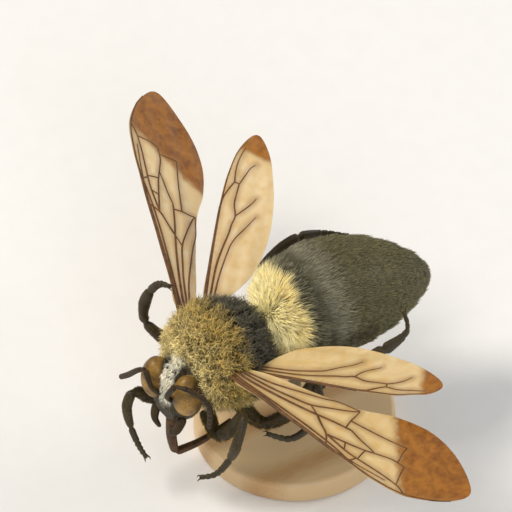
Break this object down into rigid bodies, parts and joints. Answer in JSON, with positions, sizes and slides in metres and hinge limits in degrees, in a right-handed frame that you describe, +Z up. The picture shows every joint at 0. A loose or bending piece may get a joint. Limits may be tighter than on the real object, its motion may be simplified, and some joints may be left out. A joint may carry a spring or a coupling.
{
  "type": "bumblebee",
  "caption": "Life-size still bumblebee in flight, wings spread, legs hanging and tongue folded back, held by a rod on a round display base.",
  "frame": {"origin": "centre of the display base's underside, on the surface it stands on", "axes": "+Z up; the bee heads along -Y, and its left side is at +X"},
  "size_m": [0.0434, 0.0234, 0.0163],
  "materials": {
    "thorax_coat": "long dense pile, cream yellow and gold with a black band between the wings",
    "abdomen_coat": "short black-olive pile over a satin shell, cream yellow at the waist",
    "head_coat": "black shell with short pile, pale on the face",
    "eye_shell": "glossy dark brown with fine facets",
    "leg_shell": "satin dark brown with short bristles",
    "mouth_and_feeler_shell": "satin dark brown",
    "wing_membrane": "clear straw membrane with brown veins and a smoky brown tip",
    "stand_wood": "pale maple with a satin oil finish",
    "stand_steel": "brushed"
  },
  "bodies": {
    "root": {"abdomen": "abdomen_coat", "antenna_left_flagellum": "mouth_and_feeler_shell", "antenna_left_scape": "mouth_and_feeler_shell", "antenna_right_flagellum": "mouth_and_feeler_shell", "antenna_right_scape": "mouth_and_feeler_shell", "eye_left": "eye_shell", "eye_right": "eye_shell", "head": "head_coat", "leg_fore_left_femur": "leg_shell", "leg_fore_left_tarsus": "leg_shell", "leg_fore_left_tibia": "leg_shell", "leg_fore_right_femur": "leg_shell", "leg_fore_right_tarsus": "leg_shell", "leg_fore_right_tibia": "leg_shell", "leg_hind_left_femur": "leg_shell", "leg_hind_left_tarsus": "leg_shell", "leg_hind_left_tibia": "leg_shell", "leg_hind_right_femur": "leg_shell", "leg_hind_right_tarsus": "leg_shell", "leg_hind_right_tibia": "leg_shell", "leg_middle_left_femur": "leg_shell", "leg_middle_left_tarsus": "leg_shell", "leg_middle_left_tibia": "leg_shell", "leg_middle_right_femur": "leg_shell", "leg_middle_right_tarsus": "leg_shell", "leg_middle_right_tibia": "leg_shell", "mandible_left": "mouth_and_feeler_shell", "mandible_right": "mouth_and_feeler_shell", "proboscis_base": "mouth_and_feeler_shell", "proboscis_blade": "mouth_and_feeler_shell", "stand_base": "stand_wood", "stand_rod": "stand_steel", "thorax": "thorax_coat", "wing_fore_left": "wing_membrane", "wing_fore_right": "wing_membrane", "wing_hind_left": "wing_membrane", "wing_hind_right": "wing_membrane"}
  },
  "joints": []
}
